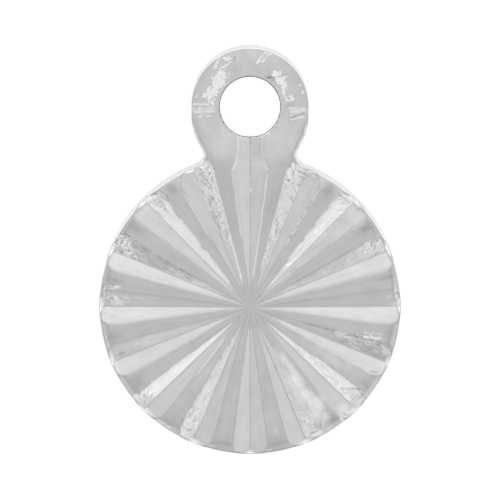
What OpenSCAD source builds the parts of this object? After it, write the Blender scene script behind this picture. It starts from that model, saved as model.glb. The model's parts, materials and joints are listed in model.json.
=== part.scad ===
// Disc pendant cast in one piece: a fluted round disc, a short neck and a loop with a hole.
// It lies on its flat back. The origin is the centre of the disc on the back,
// +Z points out of the fluted face and +Y points from the disc to the loop.

/* [Disc] */
// Diameter of the disc, measured across its back
disc_d = 12; // [9:0.5:30]
// Thickness of the casting from its back to its flat lands
thickness = 1.3; // [0.9:0.1:3]
// Distance that the outer wall leans inwards from the back to the face
wall_draft = 0.07; // [0.02:0.01:0.15]
// Radius of the soft edge where the wall turns into the face
edge_round = 0.16; // [0.05:0.01:0.3]

/* [Loop] */
// Diameter of the hole that takes a jump ring
hole_d = 2.34; // [1.2:0.02:3]
// Width of the metal round the hole, measured across the back
loop_wall = 1.17; // [0.8:0.01:2]
// Distance from the rim of the disc to the edge of the hole
hole_gap = 0.81; // [0.6:0.01:2]
// Distance that the round outside of the loop is drawn out towards the disc
loop_stretch = 0.34; // [0.1:0.02:0.6]

/* [Neck] */
// Radius of the hollow on each side, where the loop runs into the disc
neck_hollow = 0.5; // [0.3:0.05:1]

/* [Flutes] */
// Number of grooves that fan out from the centre
groove_count = 16; // [8:1:24]
// Share of the circle that the grooves take, while the rest stays as flat lands
groove_share = 0.667; // [0.4:0.01:0.85]
// Depth of each groove at the rim
groove_depth = 0.34; // [0.1:0.02:0.6]
// Radius of the plain spot in the middle, where the grooves start
spot_r = 0.2; // [0.1:0.05:1]
// Distance inside the rim at which the groove below the loop is deepest
fade_start = 0.6; // [0.3:0.05:1.5]
// Distance past the rim at which the groove below the loop has faded out
fade_end = 0.45; // [0.1:0.05:0.55]

/* [Hidden] */
$fn = 96;

disc_r = disc_d / 2;
hole_r = hole_d / 2;
loop_r = hole_r + loop_wall;
hole_y = disc_r + hole_gap + hole_r;
lower_y = hole_y - loop_stretch;

// Centre of the right hollow, which touches both the disc and the lower end of the loop
hollow_y = (pow(disc_r + neck_hollow, 2) - pow(loop_r + neck_hollow, 2) + pow(lower_y, 2)) / (2 * lower_y);
hollow_x = sqrt(pow(disc_r + neck_hollow, 2) - pow(hollow_y, 2));

// The hollows are cut this much larger, so that their walls cross those of the disc and the loop
hollow_bite = 0.01;
// Cutters reach this far past the surfaces that they cut
overcut = 0.2;

// Levels of the outer wall and of its soft edge, as heights above the back and insets of the outline.
// The heights are whole microns, so that the slices between the levels meet face to face.
level_z = 0;
level_inset = 1;
levels = [
    [0, 0],
    [to_micron(thickness - edge_round), wall_draft],
    [to_micron(thickness - edge_round * (1 - sin(45))), to_micron(wall_draft + edge_round * (1 - cos(45)))],
    [thickness, wall_draft + edge_round]
];

groove_pitch = 360 / groove_count;
groove_half_angle = groove_pitch * groove_share / 2;

function to_micron(length) = round(length * 1000) / 1000;

// Width and depth of a groove grow in step, from nothing at the spot
function groove_growth(r) = (r - spot_r) / (disc_r - spot_r);
function groove_half_width(r) = disc_r * tan(groove_half_angle) * groove_growth(r);
function groove_bottom(r) = thickness - groove_depth * groove_growth(r);

// Metal between the disc and the loop from one level to the next, with the two hollows cut into it
module web(low, high) {
    height = high[level_z] - low[level_z];
    cut_r = neck_hollow + hollow_bite;
    difference() {
        linear_extrude(height)
            polygon([[0, 0], [hollow_x, hollow_y], [0, hole_y], [-hollow_x, hollow_y]]);
        for (side = [-1, 1])
            translate([side * hollow_x, hollow_y, 0])
                cylinder(h = height, r1 = cut_r + low[level_inset], r2 = cut_r + high[level_inset]);
    }
}

// Slice of the casting from one level to the next
module slice(low, high) {
    height = high[level_z] - low[level_z];
    translate([0, 0, low[level_z]]) {
        cylinder(h = height, r1 = disc_r - low[level_inset], r2 = disc_r - high[level_inset]);
        for (y = [lower_y, hole_y])
            translate([0, y, 0])
                cylinder(h = height, r1 = loop_r - low[level_inset], r2 = loop_r - high[level_inset]);
        web(low, high);
    }
}

// Corners of a V-shaped cutter along +Y that is deepest at far. Its sides carry on above the face.
function groove_corners(far) =
    let (depth = thickness - groove_bottom(far))
    let (top = thickness + overcut)
    let (w = groove_half_width(far) * (1 + overcut / depth))
        [[0, spot_r - overcut * (far - spot_r) / depth, top], [-w, far, top], [w, far, top],
            [0, far, groove_bottom(far)]];

// Groove that runs out through the rim
module groove() {
    polyhedron(points = groove_corners(disc_r + overcut), faces = [[0, 3, 1], [0, 2, 3], [1, 3, 2], [0, 1, 2]]);
}

// Groove that closes again on the neck
module fading_groove() {
    far = disc_r - fade_start;
    fade = fade_start + fade_end;
    tip = [0, disc_r + fade_end + overcut * fade / (thickness - groove_bottom(far)), thickness + overcut];
    polyhedron(
        points = concat(groove_corners(far), [tip]),
        faces = [[0, 3, 1], [0, 2, 3], [1, 3, 4], [3, 2, 4], [0, 1, 4, 2]]
    );
}

module disc_pendant() {
    color("silver")
        difference() {
            for (i = [1 : len(levels) - 1])
                slice(levels[i - 1], levels[i]);
            translate([0, hole_y, -overcut])
                cylinder(h = thickness + 2 * overcut, r = hole_r);
            fading_groove();
            for (k = [1 : groove_count - 1])
                rotate(k * groove_pitch)
                    groove();
        }
}

disc_pendant();
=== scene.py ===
import json
import math

import bpy
from mathutils import Matrix, Vector, noise
from mathutils.geometry import delaunay_2d_cdt


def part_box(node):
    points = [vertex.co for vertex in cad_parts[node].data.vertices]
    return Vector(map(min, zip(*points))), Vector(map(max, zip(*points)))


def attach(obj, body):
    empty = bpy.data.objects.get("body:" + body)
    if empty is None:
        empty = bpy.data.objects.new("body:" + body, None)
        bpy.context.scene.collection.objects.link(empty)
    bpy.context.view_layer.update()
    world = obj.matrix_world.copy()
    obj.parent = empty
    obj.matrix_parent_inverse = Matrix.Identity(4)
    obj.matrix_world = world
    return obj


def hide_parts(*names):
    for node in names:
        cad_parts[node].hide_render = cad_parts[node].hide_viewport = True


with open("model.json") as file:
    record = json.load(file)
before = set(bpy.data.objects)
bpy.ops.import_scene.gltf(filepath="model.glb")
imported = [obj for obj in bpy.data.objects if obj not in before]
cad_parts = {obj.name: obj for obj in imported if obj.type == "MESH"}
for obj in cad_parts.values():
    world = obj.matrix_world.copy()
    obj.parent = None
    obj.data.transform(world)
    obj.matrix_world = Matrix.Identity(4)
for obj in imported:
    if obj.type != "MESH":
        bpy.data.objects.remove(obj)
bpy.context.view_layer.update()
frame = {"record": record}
print("frame loaded")

mm = 0.001  # the casting is worked out in millimetres and scaled once, when its mesh is made

# Driving dimensions of the casting that the frame doesn't hold, in millimetres and degrees
pendant = {
    "grooves": 16,
    "grooveShare": 0.667,     # share of the circle that the grooves take
    "grooveDepth": 0.34,      # at the rim
    "spotRadius": 0.2,        # plain spot in the middle
    "ridgeRound": 0.003,      # rounding of a groove's edges beside the spot, and what it gains up to the rim
    "ridgeRoundGain": 0.012,
    "bottomRound": 0.4,       # rounding of its bottom, as a share of that of its edges
    "fadeFrom": 5.75,         # all grooves but the one below the loop get shallower between these two radii
    "fadeTo": 6.2,
    "lateFadeFrom": 5.652,    # this second pair softens the start of the fade
    "lateFadeTo": 6.087,
    "neckFrom": 5.35,         # the groove below the loop gets shallower between these two radii
    "neckTo": 6.15,
    "neckDeepest": 5.55,      # it is never deeper than the others are at this radius
    "neckDepth": 0.195,       # depth that it keeps up to the hole
    "neckEndFrom": 0.1,       # it dies away between these two heights above the lowest point of the hole
    "neckEndTo": 0.5,
    "loopStretch": 0.34,      # the round outside of the loop is drawn out by this towards the disc
    "neckHollow": 0.5,        # radius of the hollow on each side of the neck
    "wallDraft": 0.015,
    "wallWaves": 0.006,
    "edgeRound": 0.05,        # width and drop of the round where the wall turns into the face
    "edgeDrop": 0.05,
    "rollSlope": 0.42,        # the lands fall off towards the rim like a soft chamfer of this slope
    "rollFrom": 0.29,
    "rollBlend": 0.20,
    "rollMeet": 0.02,         # width over which the burrs run into it
    "loopRoll": 0.2,          # share of it that is left on the loop, reached between these two heights
    "loopRollFrom": 5.4,
    "loopRollTo": 6.3,
    "holeRound": 0.022,
    "backRound": 0.04,
    "backWaves": 0.004,
    "skin": 0.022,            # the lands stay this far under the top of the frame, so that burrs fit in
    "dish": 0.05,             # the middle of the disc lies this much lower than its rim would
    "neckSlope": 0.055,       # the neck leans back from the lands, and the loop a little less
    "neckSlopeFrom": 5.75,
    "loopSlope": 0.03,
    "loopSlopeFrom": 7.6,
    "slopeBlend": 0.2,
    "waviness": 0.004,        # slow waves that every casting has
    "wavePitch": 1.7,
    "step": 0.040,            # spacing of the mesh on the face
    "innerStep": 0.060,       # and of its rings within the inner radius
    "innerRadius": 2.0,
    "ringsTo": 6.5,           # rings of points reach this radius, and rows take over on the neck and the loop
    "rowsFrom": 5.0,
    "backStep": 0.3,
}


def sizesFromFrame():
    low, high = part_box("disc_pendant")
    mounts = {m["name"]: m for m in frame["record"]["mounts"]}
    hole = mounts["loop_hole"]
    clear = 0.0005  # keeps the mesh inside the box of the frame
    s = dict(pendant)
    s["discRadius"] = (high.x - low.x) / 2 / mm - clear
    s["thickness"] = high.z / mm
    s["holeY"] = hole["pos_m"][1] / mm
    s["holeRadius"] = hole["dims"]["r_mm"]
    s["loopRadius"] = high.y / mm - s["holeY"] - 2 * clear
    s["lowerY"] = s["holeY"] - s["loopStretch"]
    farR, nearR = s["discRadius"] + s["neckHollow"], s["loopRadius"] + s["neckHollow"]
    s["hollowY"] = (farR**2 - nearR**2 + s["lowerY"]**2) / (2 * s["lowerY"])
    s["hollowX"] = math.sqrt(farR**2 - s["hollowY"]**2)
    s["pitch"] = 360 / s["grooves"]
    s["grooveSlopeWidth"] = s["discRadius"] * math.tan(math.radians(s["pitch"] * s["grooveShare"] / 2))
    return s


size = sizesFromFrame()


def smoothStep(low, high, value):
    # 0 at the first level and 1 at the second, which may also be the lower one
    t = min(max((value - low) / (high - low), 0), 1)
    return t * t * (3 - 2 * t)


def softMax(value, width):
    # max(value, 0) with its corner rounded over the width
    return (value + math.sqrt(value * value + width * width)) / 2


def softMin(a, b, width):
    # min(a, b) with its corner rounded over the width
    return (a + b - math.sqrt((a - b)**2 + width * width)) / 2


def stronger(marks, others):
    # each mark as strong as the stronger of the two
    return [max(pair) for pair in zip(marks, others)]


def noiseAt(x, y, pitch, seed):
    # smooth noise with this many cells to the millimetre
    return noise.noise(Vector((x * pitch, y * pitch, seed)))


def noiseAlong(along, pitch, seed, kind=0):
    # the same along a line
    return noise.noise(Vector((along * pitch, seed, kind)))


def shownAt(gaps, along, pitch, seed, least=0.55):
    # 1 where a line shows and 0 in its gaps
    return smoothStep(gaps - least, gaps - least + 0.3, noiseAlong(along, pitch, seed, 4))


def polar(x, y):
    # radius, and angle in degrees clockwise from the loop
    return math.hypot(x, y), math.degrees(math.atan2(x, y)) % 360


def edgeDistance(x, y):
    # distance inside the outline of the casting at its back
    x = abs(x)
    hx, hy, ly = size["hollowX"], size["hollowY"], size["lowerY"]
    if hx * y - hy * x <= 0:
        return size["discRadius"] - math.hypot(x, y)
    if hx * (y - ly) - (hy - ly) * x >= 0:
        return size["loopRadius"] - math.hypot(x, y - min(max(y, ly), size["holeY"]))
    return math.hypot(x - hx, y - hy) - size["neckHollow"]


def holeDistance(x, y):
    return math.hypot(x, y - size["holeY"]) - size["holeRadius"]


def nearestGroove(x, y):
    # number of the groove, and the place along it and across it
    r, angle = polar(x, y)
    number = round(angle / size["pitch"])
    turn = math.radians(angle - number * size["pitch"])
    return number % size["grooves"], r * math.cos(turn), r * math.sin(turn)


def grooveGrowth(along):
    # width and depth of a groove, as shares of those at the rim
    return max(along - size["spotRadius"], 0) / (size["discRadius"] - size["spotRadius"])


# Steepness of the two sides of a groove, where they differ from the rest: side before it, side after it
# (clockwise), by the number of the groove from the loop
fluteSides = {
    1: (1.02, 1.00),
    2: (1.09, 1.00),
    3: (0.92, 1.00),
    4: (0.97, 1.00),
    5: (0.93, 1.00),
    6: (1.08, 1.00),
    7: (0.95, 1.00),
    10: (1.00, 1.09),
    12: (1.00, 0.97),
    13: (1.00, 0.92),
    14: (1.00, 1.08),
}

# What the mesh carries for the material at each of its points. The bright mark is real scrapes together with
# painted light (highlights on burrs and beads, the lower lip of the hole, lit spots and facets); the dark
# mark is painted shade (in creases and dents, beside beads, along the rim, on the upper lip of the hole, on
# shaded spots and facets) together with the tarnish of a line along the neck
markNames = ("curled", "pebbled", "glittering", "scrapedAndLit", "shadeAndTarnish")
scrapedAndLitPlace, shadeAndTarnishPlace = markNames.index("scrapedAndLit"), markNames.index("shadeAndTarnish")

# Burrs and beads along the edges of the flutes, each with a painted highlight that grows with its height
# angle of the line, from radius, to radius, height, share of gaps
ridgeLines = [
    (345, 0.9, 5.95, 0.02, 0),
    (337.5, 3, 5.7, 0.014, 0.4),
    (352.5, 2.6, 5.6, 0.01, 0),
    (330, 3, 5.4, 0.01, 0),
    (322.5, 1, 5.75, 0.012, 0.1),
    (315, 2, 5.6, 0.008, 0.3),
    (300, 2.4, 5.7, 0.006, 0.4),
    (7.5, 1, 5.5, 0.013, 0),
    (15, 1.4, 5.8, 0.014, 0.1),
    (22.5, 3.6, 5.6, 0.005, 0.5),
    (30, 2.6, 5.6, 0.011, 0.3),
    (37.5, 1.5, 5.7, 0.009, 0.2),
    (52.5, 4.6, 5.4, 0.012, 0.3),
    (60, 4.6, 5.7, 0.006, 0.4),
    (127.5, 3, 5.8, 0.015, 0),
    (135, 1.4, 5.2, 0.006, 0.4),
    (150, 1.8, 3.6, 0.01, 0.3),
    (172.5, 2.4, 4.2, 0.003, 0.3),
    (202.5, 3, 5.6, 0.008, 0.4),
    (210, 1.2, 5.2, 0.01, 0.3),
    (217.5, 1.4, 3.6, 0.012, 0),
    (225, 1.4, 5.4, 0.006, 0.5),
    (232.5, 2.2, 5.4, 0.006, 0.4),
    (240, 1.6, 4.4, 0.006, 0.3),
]

# Burrs and beads along the rim of the disc, each with a painted highlight by its height and a line of painted
# shade on its inner side
# angle from, angle to, distance inside the rim, half width, height, share of gaps
rimBeads = [
    (18, 27, 0.2, 0.04, 0.021, 0.1),
    (19, 24, 0.36, 0.036, 0.013, 0.3),
    (38, 44.5, 0.22, 0.039, 0.018, 0),
    (39, 44, 0.4, 0.033, 0.013, 0.1),
    (39.5, 42.5, 0.56, 0.03, 0.01, 0.2),
    (44.5, 48.5, 0.17, 0.033, 0.013, 0.4),
    (60.5, 66, 0.24, 0.033, 0.016, 0.2),
    (61, 65, 0.4, 0.03, 0.012, 0.3),
    (79, 88, 0.2, 0.036, 0.013, 0.4),
    (128, 134.6, 0.22, 0.039, 0.019, 0),
    (128.6, 134.2, 0.38, 0.036, 0.017, 0),
    (129.2, 133.8, 0.54, 0.033, 0.016, 0.1),
    (129.6, 133.2, 0.7, 0.03, 0.012, 0.2),
    (150.5, 155.8, 0.24, 0.039, 0.017, 0),
    (151, 155, 0.42, 0.033, 0.013, 0.2),
    (161, 164, 0.18, 0.024, 0.008, 0.4),
    (171, 174, 0.2, 0.027, 0.009, 0.3),
    (193, 204, 0.18, 0.021, 0.008, 0.3),
    (212, 220, 0.18, 0.03, 0.014, 0.2),
    (223, 231, 0.2, 0.027, 0.01, 0.4),
    (250, 262, 0.19, 0.027, 0.01, 0.4),
    (266, 279, 0.19, 0.03, 0.013, 0.4),
    (293, 299.6, 0.24, 0.039, 0.017, 0),
    (294, 299.2, 0.42, 0.033, 0.014, 0.2),
    (315.4, 322.3, 0.26, 0.04, 0.021, 0),
    (316.2, 321.9, 0.42, 0.036, 0.018, 0),
    (317, 321.6, 0.58, 0.033, 0.016, 0.1),
    (317.6, 321, 0.76, 0.03, 0.012, 0.2),
    (338, 345, 0.28, 0.039, 0.016, 0.2),
]

# Crumpled stretches of the face, where the metal filled badly; their curled burrs and glitter also bring
# painted glints and lines of painted shade, and the last two columns lay light and shade over the stretch
# angle from, angle to, radius from, radius to, curled burrs, pebbles, glitter, folds, size of the folds,
# stretch along the radius, bright (made matte, with painted light), dark (painted shade)
crumples = [
    (337.5, 345, 2.4, 5.95, 0.8, 0.4, 0.5, 0.02, 0.2, 1.3, 0.05, 0),
    (338.5, 346, 5.2, 6.2, 0.8, 0.2, 0.3, 0.08, 0.2, 1, 0, 0),
    (315, 322.5, 4.7, 6, 0.15, 0, 0, 0.04, 0.3, 1.6, 0.2, 0),
    (315, 322.5, 1.4, 5.2, 0, 0, 0.05, 0.01, 0.3, 2, 0, 0.06),
    (292.5, 300, 4.5, 6, 1, 0.2, 1, 0.15, 0.15, 1, 0.2, 0),
    (292.5, 300, 1.9, 5.2, 0.3, 0.2, 0.5, 0.03, 0.15, 2, 0, 0.6),
    (296.8, 300, 2.2, 5.4, 0, 0, 0.2, 0.02, 0.15, 2, 0, 0.75),
    (270, 283, 3.2, 5.95, 0, 0, 0, 0.06, 0.1, 6, 0, 0),
    (270, 280, 4.6, 5.95, 0.7, 0, 0.2, 0, 0.2, 2, 0.1, 0),
    (285, 288.7, 3, 5.6, 0.2, 0, 0.3, 0.03, 0.2, 1.6, 0.5, 0),
    (300, 307.5, 4.2, 5.7, 0, 0, 0, 0.02, 0.3, 2, 0.06, 0),
    (307.5, 315, 1.5, 5.6, 0, 0, 0, 0.01, 0.3, 2, 0, 0.13),
    (15, 22.5, 3.9, 6.05, 1, 0.5, 0.8, 0.03, 0.2, 1, 0.05, 0),
    (15, 22.5, 1.4, 4.2, 0.6, 0.3, 0.5, 0.02, 0.2, 1.4, 0.1, 0),
    (18, 28, 5.5, 6, 0.6, 0.1, 0.1, 0.05, 0.2, 1, 0, 0),
    (37.5, 45, 5, 5.95, 0.3, 0, 0.1, 0.05, 0.2, 1, 0.1, 0),
    (37.5, 45, 1.4, 5.2, 0, 0.1, 0.08, 0.02, 0.3, 1.6, 0, 0.05),
    (45, 50, 5.5, 5.95, 0.6, 0, 0.1, 0.05, 0.1, 1, 0, 0),
    (45, 52.5, 1.6, 5.4, 0, 0, 0, 0.02, 0.3, 1.6, 0, 0.27),
    (60, 67.5, 4.8, 5.95, 0.8, 0.1, 0.25, 0.06, 0.2, 1, 0.1, 0.05),
    (60, 67.5, 1.5, 4.9, 0, 0, 0.05, 0.02, 0.2, 1.6, 0, 0.26),
    (67.5, 75, 1.6, 5.7, 0, 0, 0.05, 0.04, 0.1, 6, 0, 0.12),
    (82.5, 90, 5.2, 5.95, 0.6, 0.1, 0.25, 0.06, 0.2, 1.6, 0.1, 0),
    (105, 112.5, 3.4, 5.95, 0.25, 0.2, 0.4, 0.05, 0.15, 2.2, 0, 0.4),
    (105, 107.2, 2, 5.5, 0.3, 0.1, 0.9, 0.06, 0.15, 2.2, 0, 0.55),
    (105, 112.5, 1.4, 3.9, 0, 0, 0.1, 0.02, 0.15, 2.2, 0, 0.1),
    (127.5, 135, 1.6, 4.8, 0.15, 0.1, 0.15, 0.02, 0.2, 1.6, 0.1, 0),
    (127.5, 135, 4.7, 6, 0.3, 0, 0, 0.05, 0.3, 1, 0.3, 0),
    (136, 142, 5.1, 5.95, 0.6, 0, 0.2, 0.06, 0.2, 1, 0.2, 0),
    (144, 150, 2.2, 5.5, 0.6, 0.1, 0.4, 0.02, 0.3, 1.5, 0, 0),
    (150, 156.5, 4.7, 5.95, 1, 0, 0.6, 0.1, 0.2, 1.2, 0.6, 0),
    (150, 157.5, 1.8, 4.8, 0.1, 0, 0.1, 0.02, 0.2, 1.4, 0, 0.16),
    (202.5, 210, 4, 5.95, 0.6, 0, 0.3, 0.06, 0.2, 2, 0.7, 0),
    (202.5, 210, 1.6, 4.6, 0.25, 0, 0.15, 0.02, 0.2, 2, 0.4, 0),
    (210, 217.5, 1.5, 4.8, 0, 0, 0, 0.01, 0.3, 1.5, 0.15, 0),
    (225, 232.5, 4.9, 5.95, 0.8, 0.1, 0.4, 0.12, 0.2, 1, 0.7, 0),
    (225, 232.5, 1.6, 5, 0, 0, 0.08, 0.02, 0.2, 1.6, 0.1, 0),
    (247.5, 255, 1.6, 5.4, 0, 0, 0, 0.02, 0.2, 4, 0, 0),
    (262.5, 270, 3, 5.9, 0, 0, 0, 0.03, 0.2, 5, 0.05, 0),
    (190, 194, 4.1, 4.7, 0.4, 0, 0.1, 0.03, 0.1, 2, 0, 0.1),
    (247, 253, 5.3, 5.8, 0.4, 0, 0.2, 0.06, 0.2, 1, 0, 0.2),
]

# Soft spots of painted light and shade: painted shade at the ends of the lands near the rim, and painted
# light as pale clouds on some facets angle, radius, half length along the radius, half width across it,
# bright (painted light), dark (painted shade)
litAndShadedSpots = [
    (33.4, 5.62, 0.34, 0.24, 0, 0.5),
    (55.3, 5.5, 0.3, 0.17, 0, 0.6),
    (77.6, 5.5, 0.34, 0.1, 0, 0.45),
    (101, 5.62, 0.24, 0.2, 0, 0.2),
    (123.6, 5.56, 0.26, 0.2, 0, 0.35),
    (143.6, 5.52, 0.3, 0.22, 0, 0.45),
    (168.2, 5.62, 0.2, 0.3, 0, 0.12),
    (191.3, 5.62, 0.22, 0.3, 0, 0.1),
    (213.4, 5.45, 0.45, 0.26, 0, 0.18),
    (236.2, 5.42, 0.3, 0.26, 0, 0.35),
    (249.8, 5.44, 0.14, 0.1, 0, 0.5),
    (257.6, 5.52, 0.28, 0.17, 0, 0.4),
    (281.4, 5.5, 0.36, 0.1, 0, 0.4),
    (304.9, 5.48, 0.34, 0.24, 0, 0.4),
    (327.1, 5.66, 0.32, 0.2, 0, 0.5),
    (312, 5.86, 0.12, 0.2, 0, 0.2),
    (12, 4.3, 1.5, 0.34, 0, 0.16),
    (348.5, 4.3, 1.7, 0.34, 0, 0.16),
    (18.7, 4.6, 2, 0.34, 0.3, 0),
    (101, 3.4, 1.6, 0.22, 0.25, 0),
    (122.6, 3.9, 1.9, 0.3, 0.45, 0),
    (148.2, 4.2, 1.4, 0.28, 1, 0),
    (145.6, 4.85, 0.6, 0.34, 0.8, 0),
    (147, 3, 1.4, 0.2, 0.7, 0),
    (168.7, 5.12, 0.22, 0.2, 0.4, 0),
    (213.7, 3.2, 1.6, 0.24, 0.32, 0),
    (243.7, 3.8, 2, 0.3, 0.26, 0),
    (251.2, 3.8, 2, 0.34, 0.15, 0),
    (266, 3.6, 2, 0.26, 0.05, 0),
]

# Scraped and dented marks, most on the loop and its lower lip, the last six on the disc. The dents have no
# depth in the surface; their dark is painted shade centre x, centre y, half length, half width, turn in
# degrees, bright, dark (painted shade), curled burrs
scrapes = [
    (-1.33, 8.86, 0.62, 0.25, 62, 1, 0, 0.5),
    (-1.14, 9.2, 0.24, 0.2, 20, 1, 0, 0.6),
    (-1.72, 8.52, 0.28, 0.06, 46, 1, 0, 0.2),
    (-1.58, 8.4, 0.26, 0.08, 75, 1, 0, 0.2),
    (-1.49, 8.16, 0.08, 0.06, 60, 1, 0, 0.2),
    (-2.08, 8.42, 0.1, 0.05, 60, 0.8, 0, 0.4),
    (-1.28, 9.7, 0.3, 0.06, 62, 1, 0, 0.6),
    (-0.96, 9.88, 0.28, 0.07, 4, 1, 0, 0.8),
    (-0.86, 9.68, 0.22, 0.05, 38, 0.9, 0, 0.6),
    (-1.12, 9.54, 0.18, 0.05, 10, 0.8, 0, 0.6),
    (-0.62, 9.84, 0.14, 0.05, 80, 0, 0.4, 0),
    (-0.82, 9, 0.12, 0.08, 60, 0.6, 0.2, 1),
    (0.4, 9.86, 0.3, 0.055, 56, 1, 0, 0.2),
    (0.54, 9.82, 0.22, 0.04, 50, 1, 0, 0.2),
    (0.74, 10.06, 0.22, 0.045, -12, 0.9, 0, 0.2),
    (1.24, 9, 0.3, 0.19, 108, 1, 0, 0.3),
    (1.02, 9.28, 0.22, 0.13, 28, 1, 0, 0.8),
    (1.32, 8.6, 0.26, 0.07, 100, 1, 0, 0.6),
    (0.76, 9.16, 0.14, 0.07, 20, 0, 0.9, 1),
    (0.9, 9.06, 0.1, 0.04, 60, 0, 0.5, 1),
    (1.53, 8.32, 0.18, 0.15, 100, 0.7, 0, 1),
    (1.52, 8.31, 0.07, 0.06, 0, 0, 0.3, 0),
    (2.06, 8.52, 0.1, 0.07, 70, 1, 0, 0.3),
    (1.95, 8.84, 0.06, 0.05, 0, 0.9, 0, 0.3),
    (-0.4, 6.86, 0.24, 0.06, -14, 0.9, 0, 0.4),
    (0.58, 6.9, 0.26, 0.06, 18, 0.9, 0, 0.4),
    (-1.84, 7.86, 0.52, 0.24, 0, 0.45, 0, 0),
    (1.84, 7.78, 0.46, 0.26, 4, 0.5, 0, 0),
    (4.86, -1.22, 0.44, 0.055, -8, 1, 0, 0.3),
    (4.58, -1.02, 0.26, 0.05, -24, 0.8, 0, 0.3),
    (5, -1.06, 0.3, 0.08, -6, 0.4, 0, 0),
    (4.95, -2.62, 0.16, 0.035, -4, 0, 0.7, 0),
    (4.22, 3.96, 0.24, 0.03, -36, 0, 0.35, 0),
    (2.56, 2.86, 0.16, 0.03, -50, 0.5, 0, 0),
]

# Fine lines: creases across the two sides of the loop, the dotted line down the neck, the two borders of the
# groove there, curls in the right corner of the neck, and curls round the crumpled ends of some flutes. Their
# dark is painted shade in the creases, and the bright borders of the neck's groove are painted light from x,
# from y, to x, to y, half width, bend to the left, depth, bright (scraped, and painted light on the neck's
# groove borders), dark (painted shade), share of gaps
creases = [
    (-2.34, 8.07, -1.35, 8.04, 0.05, 0.03, -0.008, 1, 0, 0.2),
    (-2.32, 7.92, -1.28, 7.95, 0.04, -0.02, -0.008, 1, 0, 0.3),
    (-2.3, 7.76, -1.32, 7.8, 0.05, 0.02, -0.008, 1, 0, 0.2),
    (-2.22, 7.62, -1.44, 7.62, 0.04, -0.02, -0.006, 1, 0, 0.3),
    (-2.28, 7.99, -1.5, 8, 0.02, 0.02, 0.008, 0, 0.25, 0.3),
    (-2.26, 7.68, -1.6, 7.7, 0.02, -0.02, 0.008, 0, 0.25, 0.3),
    (1.32, 8.02, 2.3, 8, 0.02, 0, 0.006, 0, 0.45, 0.2),
    (1.36, 7.93, 2.28, 7.9, 0.045, 0.02, -0.008, 0.9, 0, 0.3),
    (1.5, 7.76, 2.24, 7.92, 0.06, -0.02, -0.01, 1, 0, 0.1),
    (1.5, 7.44, 2.2, 7.6, 0.05, 0.02, -0.008, 1, 0, 0.1),
    (1.54, 7.54, 2.18, 7.76, 0.026, -0.02, 0.012, 0, 1, 0),
    (0.07, 4.6, 0.05, 6.8, 0.026, 0.03, 0.004, 0, 0.45, 0.6),
    (0.1, 1.6, 0.08, 4.6, 0.022, 0.02, 0.002, 0, 0.2, 0.6),
    (-0.72, 5.44, -0.51, 5.94, 0.06, 0, 0, 0.7, 0, 0),
    (-0.54, 5.86, -0.46, 6.24, 0.06, 0, 0, 0.7, 0, 0),
    (-0.48, 6.12, -0.48, 7.1, 0.06, 0, 0, 0.7, 0, 0),
    (0.72, 5.44, 0.51, 5.94, 0.05, 0, 0, 0.5, 0, 0),
    (0.54, 5.86, 0.46, 6.24, 0.05, 0, 0, 0.5, 0, 0),
    (0.48, 6.12, 0.48, 7.1, 0.05, 0, 0, 0.5, 0, 0),
    (1.86, 5.78, 2.62, 5.36, 0.034, 0.03, 0.01, 0, 0.9, 0.1),
    (1.8, 5.66, 2.3, 5.44, 0.034, -0.02, -0.01, 1, 0, 0.2),
    (2.05, 5.62, 2.66, 5.28, 0.03, -0.03, 0.008, 0, 0.7, 0.3),
    (0.03, 4.56, 0.03, 4.76, 0.04, 0, -0.006, 1, 0, 0),
    (-5.28, 2.8, -5.04, 2.96, 0.034, 0.03, 0.008, 0, 0.8, 0.1),
    (-5.04, 2.96, -4.7, 2.8, 0.034, 0.03, 0.008, 0, 0.9, 0.1),
    (-4.7, 2.8, -3.94, 2.24, 0.034, 0.01, 0, 0, 0.6, 0.3),
    (-3.92, 4.36, -3.7, 4.64, 0.034, 0.03, 0.008, 0, 0.7, 0.1),
    (-3.7, 4.66, -3.42, 4.6, 0.034, 0.04, 0.008, 0, 0.7, 0.1),
    (-3.42, 4.6, -3.18, 4.22, 0.034, 0.03, 0.008, 0, 0.6, 0.1),
    (-3.6, 4.36, -3.28, 3.74, 0.03, 0.05, 0.006, 0, 0.6, 0.2),
    (3.58, -3.32, 4, -3.36, 0.034, 0.05, 0.008, 0, 0.7, 0.2),
    (3.98, -3.28, 4.42, -3.34, 0.034, 0.03, 0.008, 0, 0.7, 0.1),
    (4.42, -3.34, 4.38, -3.72, 0.034, 0.07, 0.008, 0, 0.7, 0.1),
    (2.8, -4.6, 2.66, -5.08, 0.034, 0.06, 0.008, 0, 0.6, 0.1),
    (-4.44, -3.5, -4.16, -3.7, 0.034, 0.07, 0.008, 0, 0.7, 0.1),
    (-4.22, -3.92, -3.8, -3.62, 0.034, 0.08, 0.008, 0, 0.7, 0.3),
    (-2.7, -4.44, -2.64, -4.9, 0.034, -0.03, 0.008, 0, 0.5, 0.1),
    (-2.62, -4.86, -2.28, -4.98, 0.034, -0.07, 0.008, 0, 0.6, 0.1),
]


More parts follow.
